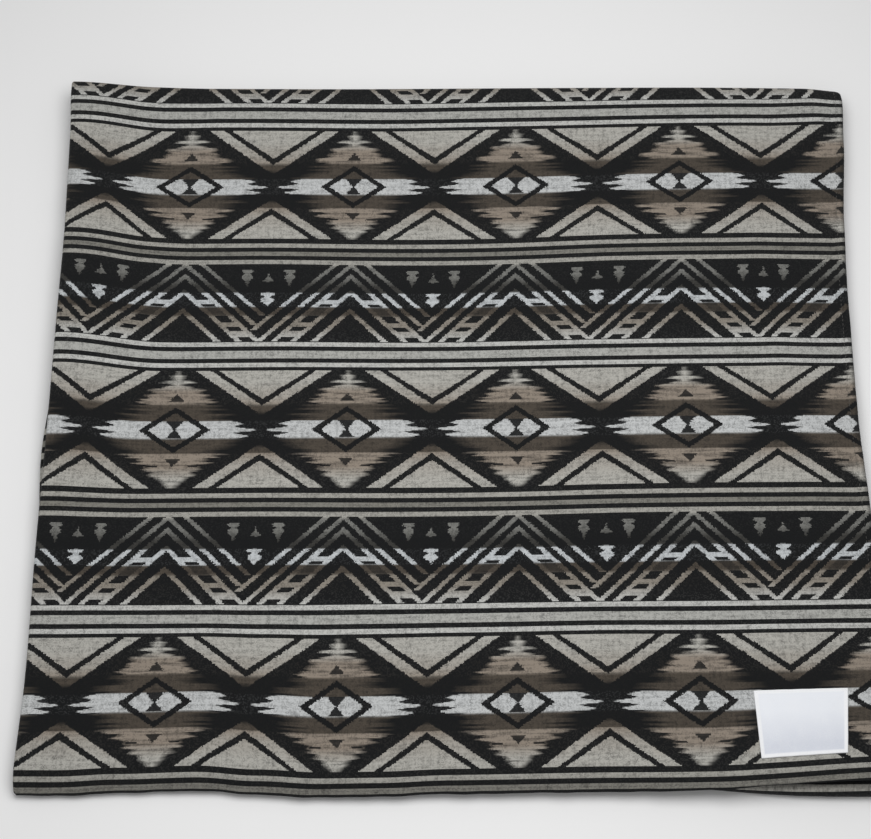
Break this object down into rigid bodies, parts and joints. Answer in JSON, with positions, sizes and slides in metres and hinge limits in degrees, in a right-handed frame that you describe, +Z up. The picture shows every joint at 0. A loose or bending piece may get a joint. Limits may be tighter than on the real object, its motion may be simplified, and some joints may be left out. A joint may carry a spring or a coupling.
{
  "type": "folded throw blanket",
  "caption": "Woven throw blanket, doubled across and folded in three, lying flat with uneven soft folds and a small bare sewn-on label.",
  "frame": {"origin": "middle of the underside, on the surface that the folded blanket lies on", "axes": "+X along the front edge to the right, +Y away from the front edge, +Z up through the layers"},
  "size_m": [0.6454, 0.61, 0.0265],
  "materials": {
    "woven_cloth": "soft matt jacquard weave in charcoal, grey, tan, brown and off-white",
    "label_satin": "white woven satin ribbon"
  },
  "bodies": {
    "root": {"blanket_cloth": "woven_cloth", "sewn_label": "label_satin"}
  },
  "joints": []
}
